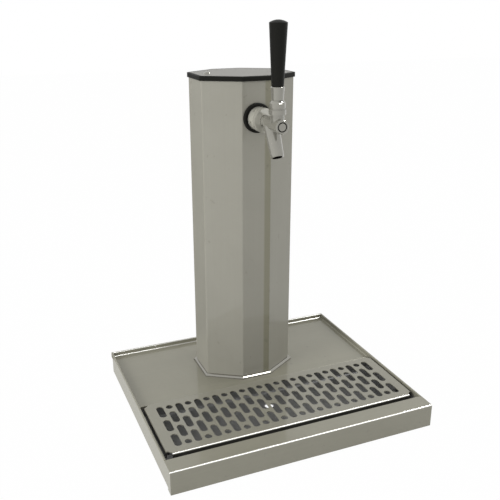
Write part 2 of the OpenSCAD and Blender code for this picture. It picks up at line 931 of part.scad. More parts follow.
// The black flange between the column and the coupling nut
module wall_flange() color(black) on_tap_axis() difference() {
    union() {
        rotate_extrude()
            difference() {
                union() {
                    square([flange_d/2, flange_t - flange_r]);
                    square([flange_d/2 - flange_r, flange_t]);
                    translate([flange_d/2 - flange_r, flange_t - flange_r])
                        circle(flange_r);
                }
                translate([-flange_d, -cut])
                    square([flange_d, flange_d]);
            }
        bar(flange_t, flange_front, flange_step_d);
    }
    bar(-cut, flange_front + cut, shank_d + 2*fit);
}

// The shank: a threaded tube through the column with a head for the coupling nut
module shank() color(bright) on_tap_axis() difference() {
    union() {
        bar(-shank_back, flange_front, shank_d);
        bar(flange_front, head_front, shank_head);
    }
    bar(-shank_back - cut, head_front + cut, shank_bore);
    bar(shank_pocket, head_front + cut, shank_pocket_d);
}

// The locknut that clamps the column's wall
module shank_locknut() color(bright) on_tap_axis() difference() {
    hexagon(-tower_t - locknut_t, -tower_t, locknut_af);
    bar(-shank_back, 0, shank_d + 2*fit);
}

// The soft washer between the shank's end and the tail piece
module tail_washer() color(rubber) on_tap_axis()
    tube(-shank_back - tail_washer_t, -shank_back, tail_flange_d, shank_bore);

// The barbed tail piece that the beer line is pushed on
module tail_piece() color(bright) on_tap_axis() {
    seat = -shank_back - tail_washer_t;
    difference() {
        union() {
            bar(seat - tail_flange_t, seat, tail_flange_d);
            bar(-tail_back, seat, line_bore - 2*fit);
            bar(-line_start + free, seat, tail_neck_d);
        }
        bar(-tail_back - cut, seat + cut, tail_bore);
    }
}

// The nut that pulls the tail piece against the shank
module tail_nut() color(bright) on_tap_axis() {
    low = -shank_back - tail_washer_t - tail_flange_t - tail_lip_t;
    difference() {
        hexagon(low, low + tail_nut_l, tail_nut_af);
        bar(low - cut, low + tail_nut_l, tail_neck_d + 2*free);
        bar(low + tail_lip_t, low + tail_nut_l + cut, shank_d + 2*fit);
    }
}

// The beer line: from the tail piece, round one bend and down through the deck
module beer_line() color(clear_hose) {
    bend_y = line_y - line_bend;
    bend_z = tap_z - line_bend;
    on_tap_axis()
        tube(-(bend_y - tower_y0), -line_start, line_d, line_bore);
    translate([0, bend_y, bend_z])
        rotate([90, 0, 90])
            rotate_extrude(angle = 90)
                translate([line_bend, 0])
                    difference() {
                        circle(d = line_d);
                        circle(d = line_bore);
                    }
    translate([0, line_y, 0])
        difference() {
            bar(line_end, bend_z, line_d);
            bar(line_end - cut, bend_z + cut, line_bore);
            bar(line_end - cut, line_end + flare_l, flare_bore);
        }
}

// The clamp that holds the line on the tail piece
module hose_clamp() color(bright)
    translate([0, clamp_y, tap_z])
        rotate([90, 0, 0])
            difference() {
                union() {
                    bar(-clamp_w/2, clamp_w/2, line_d + 2*clamp_t);
                    translate([0, (line_d + clamp_screw.y)/2, 0])
                        cube(clamp_screw, center = true);
                }
                bar(-clamp_w/2 - cut, clamp_w/2 + cut, line_d + 2*fit);
            }

// The coupling nut: an inner thread over the shank's head and a lip that pulls the tap in
module coupling_nut() color(bright) on_tap_axis() difference() {
    union() {
        bar(nut_back + nut_groove_w, nut_land, nut_d);
        bar(nut_back, nut_front, nut_d - 2*nut_step);
        bar(nut_land + nut_groove_w, nut_front - nut_step, nut_d);
    }
    bar(nut_back - cut, nut_front - lip_t, shank_head + 2*fit);
    bar(nut_back, nut_front + cut, neck_d + 2*free);
    for (k = [0:spanner_holes - 1])
        rotate([0, 0, spanner_turn + k*360/spanner_holes])
            translate([0, 0, (nut_back + nut_groove_w + nut_land)/2])
                rotate([0, 90, 0])
                    bar(nut_d/2 - spanner_depth, nut_d/2 + cut, spanner_d);
}

// The washer that seals the tap against the shank
module coupling_washer() color(rubber) on_tap_axis()
    tube(head_front, body_back, body_flange_d - 2*free, shank_pocket_d);

// Outer form of the tap body in its own axis: neck, flare and barrel
module barrel_form() {
    steps = 6;
    rotate_extrude()
        polygon(concat(
            [[0, body_back], [body_flange_d/2, body_back],
                [body_flange_d/2, body_back + body_flange_t], [neck_d/2, body_back + body_flange_t]],
            [for (t = [0:steps]) [
                neck_d/2 + (barrel_d - neck_d)/4*(1 - cos(180*t/steps)),
                nut_front + neck_l + swell_l*t/steps]],
            [[barrel_d/2, nose_front - bevel], [barrel_d/2 - bevel, nose_front], [0, nose_front]]));
}

// Outer form of the spout: a revolved body that swells below its root and narrows to the mouth
module spout_form() {
    steps = 8;
    rotate_extrude()
        polygon(concat(
            [[0, 0]],
            [for (t = [0:steps]) [
                spout_root_d/2 - spout_root_r*(1 - sin(90*t/steps)),
                spout_root_l*t/steps]],
            [[spout_d/2 + mouth_step, spout_len - mouth_band], [spout_d/2, spout_len - bevel],
                [spout_d/2 - bevel, spout_len], [0, spout_len]]));
}

// Places its children on the spout's axis, with their +Z down the spout
module on_spout_axis()
    translate([0, tower_y0 - spout_back, tap_z])
        rotate([180 - spout_angle, 0, 0])
            children();

// Sweep of a round arm about the pivot, from angle a0 to angle a1, as one cutting shape
module arm_sweep(a0, a1, d, l) {
    for (a = [a0, a1])
        rotate([a, 0, 0])
            translate([0, 0, -l])
                cylinder(h = l, d = d);
    translate([free/2 - d/2, 0, 0])
        rotate([90, 0, 90])
            linear_extrude(d - free)
                polygon([[0, 0], [l*sin(a0), -l*cos(a0)], [l*sin((a0 + a1)/2), -l*cos((a0 + a1)/2)],
                    [l*sin(a1), -l*cos(a1)]]);
}

// The tap body: barrel, spout, boss and cup, bored for the shaft, the beer and the lever
module tap_body() color(bright) difference() {
    union() {
        on_tap_axis()
            barrel_form();
        on_spout_axis()
            spout_form();
        translate([0, pivot_y, tap_z]) {
            bar(0, (cup_low + cup_floor)/2, boss_d);
            bar((barrel_d + boss_bead)/2, (barrel_d + 3*boss_bead)/2, boss_d + boss_bead);
            bar(cup_low, cup_top, cup_d - 2*cup_bevel);
            bar(cup_low + cup_bevel, cup_top - cup_bevel, cup_d);
        }
    }
    on_tap_axis() {
        bar(bore_back, nose_front - ring_seat, shaft_bore);
        bar(body_back - cut, bore_back + cut, throat_bore);
        bar(nose_front - ring_seat, nose_front + cut, shaft_bore + 2*ring_w);
    }
    on_spout_axis() {
        bar(0, spout_len - spout_mouth_l + cut, throat_bore + throat_step);
        bar(spout_len - spout_mouth_l, spout_len + cut, spout_bore);
    }
    translate([0, pivot_y, tap_z])
        bar(cup_floor, cup_top + cut, cup_bore);
    on_pivot()
        arm_sweep(-arm_lean - slot_slack, lever_swing - arm_lean + slot_slack,
            arm_d + 2*arm_room, pivot_up);
}

// The shaft: a guide with a pocket for the lever's tip, and a stem to the seal
module tap_shaft() color(bright) difference() {
    on_tap_axis() {
        bar(guide_back, guide_front, shaft_bore - 2*fit);
        bar(seal_front, guide_back, stem_d);
        bar(seal_back - stem_end_l, seal_front, stem_end_d);
    }
    translate([0, pivot_y - tip_rest, tap_z]) {
        bar(pivot_up - arm_l - tip_d/2 - 2*free, shaft_bore, tip_d + tip_play);
        translate([0, 0, shaft_bore/2 - mouth_depth])
            cylinder(h = mouth_depth + 2*free, d1 = tip_d, d2 = tip_d + mouth_w);
    }
}

// The rubber seal at the shaft's rear end
module shaft_seal() color(rubber) on_tap_axis()
    tube(seal_back, seal_front, seal_d, stem_end_d + 2*fit);

// The small nut that holds the seal
module seal_nut() color(bright) on_tap_axis() difference() {
    hexagon(seal_back - seal_nut_t, seal_back, seal_nut_af);
    bar(seal_back - seal_nut_t - cut, seal_back + cut, stem_end_d + 2*fit);
}

// The screwed plug that closes the barrel's front
module front_plug() color(bright) on_tap_axis() {
    bar(nose_front - plug_l, nose_front - ring_seat, shaft_bore - 2*fit);
    bar(nose_front - ring_seat, nose_front, shaft_bore - ring_w);
    bar(nose_front, nose_front + plug_proud, plug_face_d);
}

// The black sealing ring around the plug
module plug_ring() color(rubber) on_tap_axis()
    translate([0, 0, nose_front - ring_seat/2])
        rotate_extrude()
            translate([shaft_bore/2 + ring_w/4, 0])
                circle(ring_r);

// The seat under the lever's ball
module lever_bushing() color(black)
    translate([0, pivot_y, tap_z])
        difference() {
            bar(cup_floor, bushing_top, cup_bore - 2*fit);
            bar(cup_floor - cut, bushing_top + cut, bushing_bore);
            translate([0, 0, pivot_up])
                sphere(ball_d/2 + fit);
        }

// The bonnet that holds the ball, with a slot for the lever's neck
module lever_bonnet() color(bright) on_pivot() difference() {
    union() {
        bar(bonnet_low - pivot_up, bonnet_round, cup_bore - 2*fit);
        intersection() {
            bar(bonnet_round, shoulder_r, bonnet_d);
            sphere(shoulder_r);
        }
    }
    bar(bonnet_low - pivot_up - cut, 0, ball_d + 2*fit);
    sphere(ball_d/2 + fit);
    rotate([180, 0, 0])
        arm_sweep(-slot_slack, lever_swing + slot_slack, lever_neck_d + 2*free, 2*shoulder_r);
}

// The lever: a ball with an arm below and a threaded stud above
module tap_lever() color(bright) on_pivot() {
    sphere(ball_d/2);
    bar(0, shoulder_r + lever_neck_past, lever_neck_d);
    bar(shoulder_r + lever_neck_past, ferrule_top + insert_l - stud_short, stud_top_d);
    rotate([-arm_lean, 0, 0])
        translate([0, 0, -arm_l]) {
            cylinder(h = arm_l, d = arm_d);
            sphere(tip_d/2);
        }
}

// The chrome cone under the handle, which covers the bonnet's slot
module lever_ferrule() color(bright) on_pivot() difference() {
    low = sqrt(pow(shoulder_r + ferrule_gap, 2) - pow(ferrule_low_d/2, 2));
    union() {
        translate([0, 0, low])
            cylinder(h = ferrule_top - bevel - low, d1 = ferrule_low_d, d2 = ferrule_d);
        translate([0, 0, ferrule_top - bevel])
            cylinder(h = bevel, d1 = ferrule_d, d2 = ferrule_d - 2*bevel);
    }
    sphere(shoulder_r + ferrule_gap);
    bar(0, ferrule_top + cut, stud_top_d + 2*fit);
}

// The tapered black handle with a domed top
module tap_handle() color(black) translate([0, pivot_y, handle_z]) difference() {
    union() {
        cylinder(h = bevel, d1 = handle_low_d - 2*bevel, d2 = handle_low_d);
        translate([0, 0, bevel])
            cylinder(h = handle_h - handle_dome - bevel, d1 = handle_low_d, d2 = handle_top_d);
        translate([0, 0, handle_h - handle_dome])
            dome(handle_top_d, handle_dome);
    }
    bar(-cut, insert_l, insert_d + 2*fit);
}

// The brass insert that the lever's stud screws into
module handle_insert() color(brass)
    translate([0, pivot_y, handle_z])
        tube(0, insert_l, insert_d, stud_top_d + 2*fit);

tray_pan();
tray_skirt();
drip_well();
drain_ring();
grille_rests();
grille();
tower_column();
base_collar();
foot_plate();
tower_studs();
stud_washers();
stud_nuts();
column_foam();
tower_cap();
cap_plate();
cap_brackets();
cap_screws();
wall_flange();
shank();
shank_locknut();
tail_piece();
tail_nut();
tail_washer();
beer_line();
hose_clamp();
coupling_nut();
coupling_washer();
tap_body();
tap_shaft();
shaft_seal();
seal_nut();
front_plug();
plug_ring();
lever_bushing();
lever_bonnet();
tap_lever();
lever_ferrule();
tap_handle();
handle_insert();
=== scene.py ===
import json

import bmesh
import bpy
import numpy as np
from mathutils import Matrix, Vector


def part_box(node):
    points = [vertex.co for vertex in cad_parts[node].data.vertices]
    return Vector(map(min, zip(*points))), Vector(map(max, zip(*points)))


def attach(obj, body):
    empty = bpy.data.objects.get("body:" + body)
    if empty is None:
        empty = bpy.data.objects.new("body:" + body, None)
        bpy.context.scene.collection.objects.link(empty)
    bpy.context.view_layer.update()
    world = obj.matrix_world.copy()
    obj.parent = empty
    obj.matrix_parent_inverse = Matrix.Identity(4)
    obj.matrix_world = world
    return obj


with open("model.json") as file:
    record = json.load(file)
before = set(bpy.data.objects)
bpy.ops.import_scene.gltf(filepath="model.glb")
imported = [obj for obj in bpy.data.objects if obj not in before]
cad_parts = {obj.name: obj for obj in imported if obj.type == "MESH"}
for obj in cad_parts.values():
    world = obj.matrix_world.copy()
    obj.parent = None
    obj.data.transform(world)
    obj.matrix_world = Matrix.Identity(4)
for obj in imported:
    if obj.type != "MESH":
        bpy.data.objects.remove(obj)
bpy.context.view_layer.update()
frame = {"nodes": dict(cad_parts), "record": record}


# Camera: stands in front of the tower and to its left, a little above the cap, and looks
# down along the column at the pan. Its place and lens were fitted to the pan's corners.
scene = bpy.context.scene
scene.view_settings.view_transform = "Standard"
look_down, look_right = 20.003, 22.854
camera_data = bpy.data.cameras.new("camera")
camera_data.lens = 50
camera_data.sensor_width = 36
camera_data.clip_end = 20
camera = bpy.data.objects.new("camera", camera_data)
camera.location = (-0.4471, -1.0105, 0.6876)
camera.rotation_euler = (np.radians(90 - look_down), 0, np.radians(-look_right))
scene.collection.objects.link(camera)
scene.camera = camera


# Surround: an even plain light from all sides, dimmer where it lights the steel than where
# the camera or the polish sees it as white.
def node_of(tree, kind, **values):
    """A node of a tree, with the given properties and unlinked input values set."""
    made = tree.nodes.new(kind)
    for key, value in values.items():
        if key in made.bl_rna.properties:
            setattr(made, key, value)
        else:
            made.inputs[key.replace("_", " ")].default_value = value
    return made


def seen_mask(tree):
    """One for camera, glossy and transmission rays, which see the white surround; else zero."""
    path = node_of(tree, "ShaderNodeLightPath")
    first = node_of(tree, "ShaderNodeMath", operation="MAXIMUM")
    both = node_of(tree, "ShaderNodeMath", operation="MAXIMUM")
    tree.links.new(path.outputs["Is Camera Ray"], first.inputs[0])
    tree.links.new(path.outputs["Is Glossy Ray"], first.inputs[1])
    tree.links.new(first.outputs[0], both.inputs[0])
    tree.links.new(path.outputs["Is Transmission Ray"], both.inputs[1])
    return both.outputs[0]


world = bpy.data.worlds.new("surround")
world.use_nodes = True
scene.world = world
sky = world.node_tree
sky.nodes.clear()
room_light = node_of(sky, "ShaderNodeBackground", Color=(1, 1, 1, 1), Strength=0.62)
white_light = node_of(sky, "ShaderNodeBackground", Color=(1, 1, 1, 1), Strength=1.0)
sky_mix = node_of(sky, "ShaderNodeMixShader")
sky_out = node_of(sky, "ShaderNodeOutputWorld")
sky.links.new(seen_mask(sky), sky_mix.inputs[0])
sky.links.new(room_light.outputs[0], sky_mix.inputs[1])
sky.links.new(white_light.outputs[0], sky_mix.inputs[2])
sky.links.new(sky_mix.outputs[0], sky_out.inputs["Surface"])


# Counter: a pale matt top that runs out of sight. It takes the tower's shadow, and the camera
# and the polish see it as nearly the same white as the surround.
def new_object(name, mesh):
    """A mesh as an object of the scene, left at the origin."""
    thing = bpy.data.objects.new(name, mesh)
    scene.collection.objects.link(thing)
    return thing


def level_sheet(name, left, right, near, far, up):
    """A flat rectangle at a height: x from left to right and y from near to far."""
    mesh = bpy.data.meshes.new(name)
    mesh.from_pydata([(left, near, up), (right, near, up), (right, far, up), (left, far, up)],
                     [], [(0, 1, 2, 3)])
    return new_object(name, mesh)


counter_half = 6.0
shadow_share = 0.01
counter = level_sheet("counter", left=-counter_half, right=counter_half,
                      near=-counter_half, far=counter_half, up=0)
counter_paint = bpy.data.materials.new("counter_paint")
counter_paint.use_nodes = True
paint = counter_paint.node_tree
paint.nodes.clear()
matt = node_of(paint, "ShaderNodeBsdfDiffuse", Color=(0.62, 0.62, 0.61, 1))
glow = node_of(paint, "ShaderNodeEmission", Color=(1, 1, 1, 1), Strength=1.0)
share = node_of(paint, "ShaderNodeMath", operation="MULTIPLY")
share.inputs[1].default_value = 1 - shadow_share
paint_mix = node_of(paint, "ShaderNodeMixShader")
paint_out = node_of(paint, "ShaderNodeOutputMaterial")
paint.links.new(seen_mask(paint), share.inputs[0])
paint.links.new(share.outputs[0], paint_mix.inputs[0])
paint.links.new(matt.outputs[0], paint_mix.inputs[1])
paint.links.new(glow.outputs[0], paint_mix.inputs[2])
paint.links.new(paint_mix.outputs[0], paint_out.inputs["Surface"])
counter.data.materials.append(counter_paint)


# Lamps: a soft box at each side lights the steel. A long strip box high in front is only
# mirrored, by the folds that run across the pan, and a small box high on the right gives
# the rounds of the tap their glints.
def soft_box(name, place, aim, width, height, power, mirrored):
    """A rectangular area lamp at place, turned towards aim, its width level. It is either
    mirrored by the steel or lights it, not both."""
    data = bpy.data.lights.new(name, "AREA")
    data.shape, data.size, data.size_y, data.energy = "RECTANGLE", width, height, power
    lamp = bpy.data.objects.new(name, data)
    lamp.location = place
    away = np.subtract(place, aim)
    flat = np.hypot(away[0], away[1])
    lamp.rotation_euler = (np.arctan2(flat, away[2]), 0, np.arctan2(away[0], -away[1]))
    lamp.visible_glossy, lamp.visible_diffuse = mirrored, not mirrored
    scene.collection.objects.link(lamp)


soft_box("strip_box", place=(1.05, -1.35, 2.25), aim=(1.05, 0, 0.04),
         width=1.7, height=0.26, power=34, mirrored=True)
soft_box("glint_box", place=(1.6, -0.05, 2.05), aim=(0, -0.05, 0.5),
         width=0.4, height=0.4, power=26, mirrored=True)
soft_box("left_box", place=(-2.75, -0.75, 1.1), aim=(0, 0.05, 0.3),
         width=1.2, height=1.2, power=52, mirrored=False)
soft_box("right_box", place=(2.9, 0.1, 1.1), aim=(0, 0.05, 0.3),
         width=1.2, height=1.2, power=28, mirrored=False)


# Flag: a black cloth flat on the counter behind the tower on its left. Only the polish sees
# it, so that the column's left side isn't white all over.
flag = level_sheet("flag", left=-3.5, right=-0.05, near=0.24, far=5.8, up=0.001)
flag_cloth = bpy.data.materials.new("flag_cloth")
flag_cloth.use_nodes = True
cloth_shader = flag_cloth.node_tree.nodes["Principled BSDF"]
cloth_shader.inputs["Base Color"].default_value = (0.05, 0.05, 0.04, 1)
flag.data.materials.append(flag_cloth)
flag.visible_camera = flag.visible_diffuse = flag.visible_shadow = False


# Pan sheet: deck, rims, strip and apron folded from 1.0 mm stainless sheet, and the skirt
# tucked up under them. It is satin rolled, with its grain across the pan, and handled until
# the grain shows faint smears. The hidden foot plate and the cap's brackets are the same.
def group_of(name, inputs, outputs):
    """An empty shader node group with the named sockets, given as name: (kind, default)."""
    tree = bpy.data.node_groups.new(name, "ShaderNodeTree")
    for key, (kind, default) in inputs.items():
        made = tree.interface.new_socket(name=key, in_out="INPUT", socket_type=kind)
        if default is not None:
            made.default_value = default
    for key, kind in outputs.items():
        tree.interface.new_socket(name=key, in_out="OUTPUT", socket_type=kind)
    return tree, node_of(tree, "NodeGroupInput"), node_of(tree, "NodeGroupOutput")


def steel_grain_and_highlight_group():
    """Rolled grain as noise stretched along one axis, with broad smears and small marks over it.
    A fold is where the surface leans between forward and up, so that |y times z| of its own
    normal comes near one half. It gets a painted highlight: paler and more metallic."""
    tree, given, out = group_of(
        "steel_grain_and_highlight",
        {"Point": ("NodeSocketVector", None), "Steel": ("NodeSocketColor", (0.3, 0.3, 0.27, 1)),
         "Worn": ("NodeSocketColor", (0.4, 0.4, 0.37, 1)), "Grain X": ("NodeSocketFloat", 6.0),
         "Grain Y": ("NodeSocketFloat", 600.0), "Grain Z": ("NodeSocketFloat", 600.0),
         "Smooth": ("NodeSocketFloat", 0.16), "Smear": ("NodeSocketFloat", 0.10),
         "Relief": ("NodeSocketFloat", 0.02), "Facing": ("NodeSocketVector", None),
         "Fold": ("NodeSocketFloat", 0.0), "Metal": ("NodeSocketFloat", 0.15)},
        {"Color": "NodeSocketColor", "Roughness": "NodeSocketFloat", "Normal": "NodeSocketVector",
         "Metallic": "NodeSocketFloat"})
    link = tree.links.new
    axes = node_of(tree, "ShaderNodeCombineXYZ")
    for key in "XYZ":
        link(given.outputs["Grain " + key], axes.inputs[key])
    stretch = node_of(tree, "ShaderNodeVectorMath", operation="MULTIPLY")
    link(given.outputs["Point"], stretch.inputs[0])
    link(axes.outputs[0], stretch.inputs[1])
    grain = node_of(tree, "ShaderNodeTexNoise", Scale=1.0, Detail=3.0, Roughness=0.6)
    link(stretch.outputs[0], grain.inputs["Vector"])
    smear = node_of(tree, "ShaderNodeTexNoise",
                    Scale=7.0, Detail=5.0, Roughness=0.62, Distortion=0.8)
    link(given.outputs["Point"], smear.inputs["Vector"])
    marks = node_of(tree, "ShaderNodeTexNoise", Scale=70.0, Detail=2.0, Roughness=0.5)
    link(given.outputs["Point"], marks.inputs["Vector"])
    spots = node_of(tree, "ShaderNodeMapRange",
                    From_Min=0.70, From_Max=0.80, To_Min=0.0, To_Max=0.5)
    link(marks.outputs[0], spots.inputs["Value"])
    soft = node_of(tree, "ShaderNodeMapRange", From_Min=0.35, From_Max=0.70)
    link(smear.outputs[0], soft.inputs["Value"])
    toned = node_of(tree, "ShaderNodeMix", data_type="RGBA")
    link(soft.outputs[0], toned.inputs["Factor"])
    link(given.outputs["Steel"], toned.inputs[6])
    link(given.outputs["Worn"], toned.inputs[7])
    fine = node_of(tree, "ShaderNodeMapRange",
                   From_Min=0.3, From_Max=0.7, To_Min=0.985, To_Max=1.012)
    link(grain.outputs[0], fine.inputs["Value"])
    lined = node_of(tree, "ShaderNodeVectorMath", operation="SCALE")
    link(toned.outputs[2], lined.inputs[0])
    link(fine.outputs[0], lined.inputs["Scale"])
    spotted = node_of(tree, "ShaderNodeMix", data_type="RGBA")
    spotted.inputs[7].default_value = (0.20, 0.19, 0.165, 1)
    link(spots.outputs[0], spotted.inputs["Factor"])
    link(lined.outputs[0], spotted.inputs[6])
    facing = node_of(tree, "ShaderNodeSeparateXYZ")
    link(given.outputs["Facing"], facing.inputs[0])
    lean = node_of(tree, "ShaderNodeMath", operation="MULTIPLY")
    link(facing.outputs["Y"], lean.inputs[0])
    link(facing.outputs["Z"], lean.inputs[1])
    steep = node_of(tree, "ShaderNodeMath", operation="ABSOLUTE")
    link(lean.outputs[0], steep.inputs[0])
    crease = node_of(tree, "ShaderNodeMapRange", From_Min=0.38, From_Max=0.48)
    link(steep.outputs[0], crease.inputs["Value"])
    bright = node_of(tree, "ShaderNodeMath", operation="MULTIPLY")
    link(crease.outputs[0], bright.inputs[0])
    link(given.outputs["Fold"], bright.inputs[1])
    painted_highlight = node_of(tree, "ShaderNodeMix", data_type="RGBA")
    painted_highlight.inputs[7].default_value = (0.86, 0.86, 0.84, 1)
    link(bright.outputs[0], painted_highlight.inputs["Factor"])
    link(spotted.outputs[2], painted_highlight.inputs[6])
    link(painted_highlight.outputs[2], out.inputs["Color"])
    metal = node_of(tree, "ShaderNodeMix", data_type="FLOAT", B=0.9)
    link(bright.outputs[0], metal.inputs["Factor"])
    link(given.outputs["Metal"], metal.inputs["A"])
    link(metal.outputs[0], out.inputs["Metallic"])
    rough = node_of(tree, "ShaderNodeMath", operation="MULTIPLY_ADD")
    link(soft.outputs[0], rough.inputs[0])
    link(given.outputs["Smear"], rough.inputs[1])
    link(given.outputs["Smooth"], rough.inputs[2])
    link(rough.outputs[0], out.inputs["Roughness"])
    bump = node_of(tree, "ShaderNodeBump", Distance=0.0004)
    link(given.outputs["Relief"], bump.inputs["Strength"])
    link(grain.outputs[0], bump.inputs["Height"])
    link(bump.outputs[0], out.inputs["Normal"])
    return tree


steel_grain_and_highlight = steel_grain_and_highlight_group()


def steel_material(name, steel, worn, grain, smooth, smear, metal, shine, fold=0.0, relief=0.02):
    """Rolled steel: a broad dull sheen with a faint sharp shine over it, and a painted highlight
    on its folds. Grain is how often it changes over a metre along x, y and z, smooth the
    roughness, smear how much more the smears add, metal the metallic share, shine the coat and
    fold how strong the painted highlight on the folds is."""
    made = bpy.data.materials.new(name)
    made.use_nodes = True
    tree = made.node_tree
    shader = tree.nodes["Principled BSDF"]
    shader.inputs["Specular IOR Level"].default_value = 0.1
    shader.inputs["Coat Weight"].default_value = shine
    shader.inputs["Coat Roughness"].default_value = 0.03
    shader.inputs["Coat IOR"].default_value = 1.9
    place = node_of(tree, "ShaderNodeTexCoord")
    grain_and_highlight = node_of(tree, "ShaderNodeGroup", node_tree=steel_grain_and_highlight)
    grain_and_highlight.inputs["Steel"].default_value = (*steel, 1)
    grain_and_highlight.inputs["Worn"].default_value = (*worn, 1)
    for key, value in zip("XYZ", grain):
        grain_and_highlight.inputs["Grain " + key].default_value = value
    grain_and_highlight.inputs["Smooth"].default_value = smooth
    grain_and_highlight.inputs["Smear"].default_value = smear
    grain_and_highlight.inputs["Relief"].default_value = relief
    grain_and_highlight.inputs["Fold"].default_value = fold
    grain_and_highlight.inputs["Metal"].default_value = metal
    shader.inputs["Metallic"].default_value = metal
    shader.inputs["Roughness"].default_value = smooth
    tree.links.new(place.outputs["Object"], grain_and_highlight.inputs["Point"])
    tree.links.new(place.outputs["Normal"], grain_and_highlight.inputs["Facing"])
    tree.links.new(grain_and_highlight.outputs["Color"], shader.inputs["Base Color"])
    for key, varies in (("Metallic", fold), ("Roughness", smear), ("Normal", relief)):
        if varies:
            tree.links.new(grain_and_highlight.outputs[key], shader.inputs[key])
    return made


nodes = frame["nodes"]


def wear(material, *names):
    """Gives CAD nodes their material."""
    for name in names:
        mesh = nodes[name].data
        mesh.materials.clear()
        mesh.materials.append(material)


along_x, along_z = (5, 420, 420), (420, 420, 5)
pan_tone, pan_worn = (0.275, 0.266, 0.209), (0.302, 0.292, 0.233)
# Its folds that run across the pan carry a painted highlight, paler and more metallic.
pan_steel = steel_material(
    "pan_steel", pan_tone, pan_worn, along_x, smooth=0.42, smear=0.06, metal=0.15, shine=0.38,
    fold=0.75)
wear(pan_steel, "tray_pan", "tray_skirt", "foot_plate", "cap_brackets")


# Deck lip: the deck's front edge, rolled down at a radius of 2 mm into the well behind the
# grille. It is the deck's own sheet, left a little brighter by the bending tool.
rim_t, well_t = 0.0034, 0.001
pan_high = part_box("tray_pan")[1]
deck_half, deck_rear = pan_high[0] - rim_t, pan_high[1] - rim_t
deck_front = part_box("drip_well")[1][1] - well_t
deck_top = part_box("tower_column")[0][2]
lip_r, lip_drop = 0.002, 0.0038
lip_y, lip_z = deck_front - lip_r, deck_top - lip_r


def sheet_edge(name, profile, path, inward, steel):
    """A closed outline carried along a level path: its first number goes out from the path
    along the inward side, its second up. Corners are mitred by halving the turn."""
    path = np.asarray(path, float)
    run = np.diff(path[:, :2], axis=0)
    run /= np.linalg.norm(run, axis=1)[:, None]
    side = inward*np.stack([-run[:, 1], run[:, 0]], 1)
    before, after = np.vstack([side[:1], side]), np.vstack([side, side[-1:]])
    mitre = (before + after)/(1 + (before*after).sum(1))[:, None]
    rings = np.zeros((len(path), len(profile), 3))
    rings[:, :, :2] = path[:, None, :2] + profile[None, :, :1]*mitre[:, None, :]
    rings[:, :, 2] = path[:, 2:3] + profile[None, :, 1]
    count, size = len(path), len(profile)
    grid = np.arange(count*size).reshape(count, size)
    turned = np.roll(grid, -1, axis=1)
    walls = np.stack([grid[:-1], turned[:-1], turned[1:], grid[1:]], -1).reshape(-1, 4)
    ends = [grid[0, ::-1].tolist(), grid[-1].tolist()]
    mesh = bpy.data.meshes.new(name)
    mesh.from_pydata(rings.reshape(-1, 3).tolist(), [], walls.tolist() + ends)
    shape = bmesh.new()
    shape.from_mesh(mesh)
    bmesh.ops.recalc_face_normals(shape, faces=shape.faces)
    shape.to_mesh(mesh)
    shape.free()
    mesh.materials.append(steel)
    piece = new_object(name, mesh)
    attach(piece, "dispenser")


roll = np.radians(np.linspace(0, 90, 9))
lip_arc = lip_r*np.stack([1 - np.cos(roll), np.sin(roll)], 1)
lip_outline = np.vstack([(0, -lip_drop), lip_arc, (lip_r, -lip_drop)])
edge_steel = steel_material(
    "edge_steel", pan_tone, pan_worn, along_x, smooth=0.3, smear=0.06, metal=0.3, shine=0.5)
sheet_edge("deck_lip", lip_outline,
           [(-deck_half, lip_y, lip_z), (deck_half, lip_y, lip_z)], 1, edge_steel)


# Wall foot: the inside of the fold between the deck and the three rims around it, 2.5 mm in
# radius. It is the same sheet, painted a little paler, and its fold along the rear wall gets
# a painted highlight.
foot_r, foot_sunk = 0.0025, 0.0003
foot_front = deck_front + 0.0001
foot_grain = (60, 60, 60)
foot_arc = foot_r*np.stack([1 - np.cos(roll), 1 - np.sin(roll)], 1)
foot_outline = np.vstack([(-foot_sunk, foot_r), foot_arc, (foot_r, -foot_sunk),
                          (-foot_sunk, -foot_sunk)])
foot_steel = steel_material(
    "foot_steel", (0.30, 0.29, 0.23), (0.33, 0.32, 0.26), foot_grain, smooth=0.3, smear=0.0,
    metal=0.2, shine=0.0, fold=0.8, relief=0.0)
sheet_edge("wall_foot", foot_outline,
           [(-deck_half, foot_front, deck_top), (-deck_half, deck_rear, deck_top),
            (deck_half, deck_rear, deck_top), (deck_half, foot_front, deck_top)],
           -1, foot_steel)


# Well: a trough folded from 1.0 mm sheet, left as it came from the mill and dulled by drips.
# The drain's ring and the four angles that carry the grille are welded to it.
well_steel = steel_material(
    "well_steel", (0.26, 0.26, 0.255), (0.285, 0.285, 0.28), along_x, smooth=0.3, smear=0.1,
    metal=0.2, shine=0.0)
wear(well_steel, "drip_well", "drain_ring", "grille_rests")


# Grille: punched 1.5 mm stainless sheet with flanges bent down all round, lying loose on the
# angles. It is lifted out to wash, so its face is a little more worn than the pan's.
# Its folds that run across the grille carry the same painted highlight.
grille_steel = steel_material(
    "grille_steel", (0.272, 0.263, 0.212), (0.29, 0.28, 0.228), along_x, smooth=0.4, smear=0.06,
    metal=0.15, shine=0.38, fold=0.75)
wear(grille_steel, "grille")


def tinted(tree, mask, tint, blend):
    """Mixes a tint into what feeds the shader's base colour, where the mask is one."""
    shader = tree.nodes["Principled BSDF"]
    mixed = node_of(tree, "ShaderNodeMix", data_type="RGBA", blend_type=blend)
    mixed.inputs[7].default_value = (*tint, 1)
    tree.links.new(mask, mixed.inputs["Factor"])
    tree.links.new(shader.inputs["Base Color"].links[0].from_socket, mixed.inputs[6])
    tree.links.new(mixed.outputs[2], shader.inputs["Base Color"])


def axes_of(tree):
    """The separated x, y and z of the point on the piece."""
    place = node_of(tree, "ShaderNodeTexCoord")
    axes = node_of(tree, "ShaderNodeSeparateXYZ")
    tree.links.new(place.outputs["Object"], axes.inputs[0])
    return axes.outputs


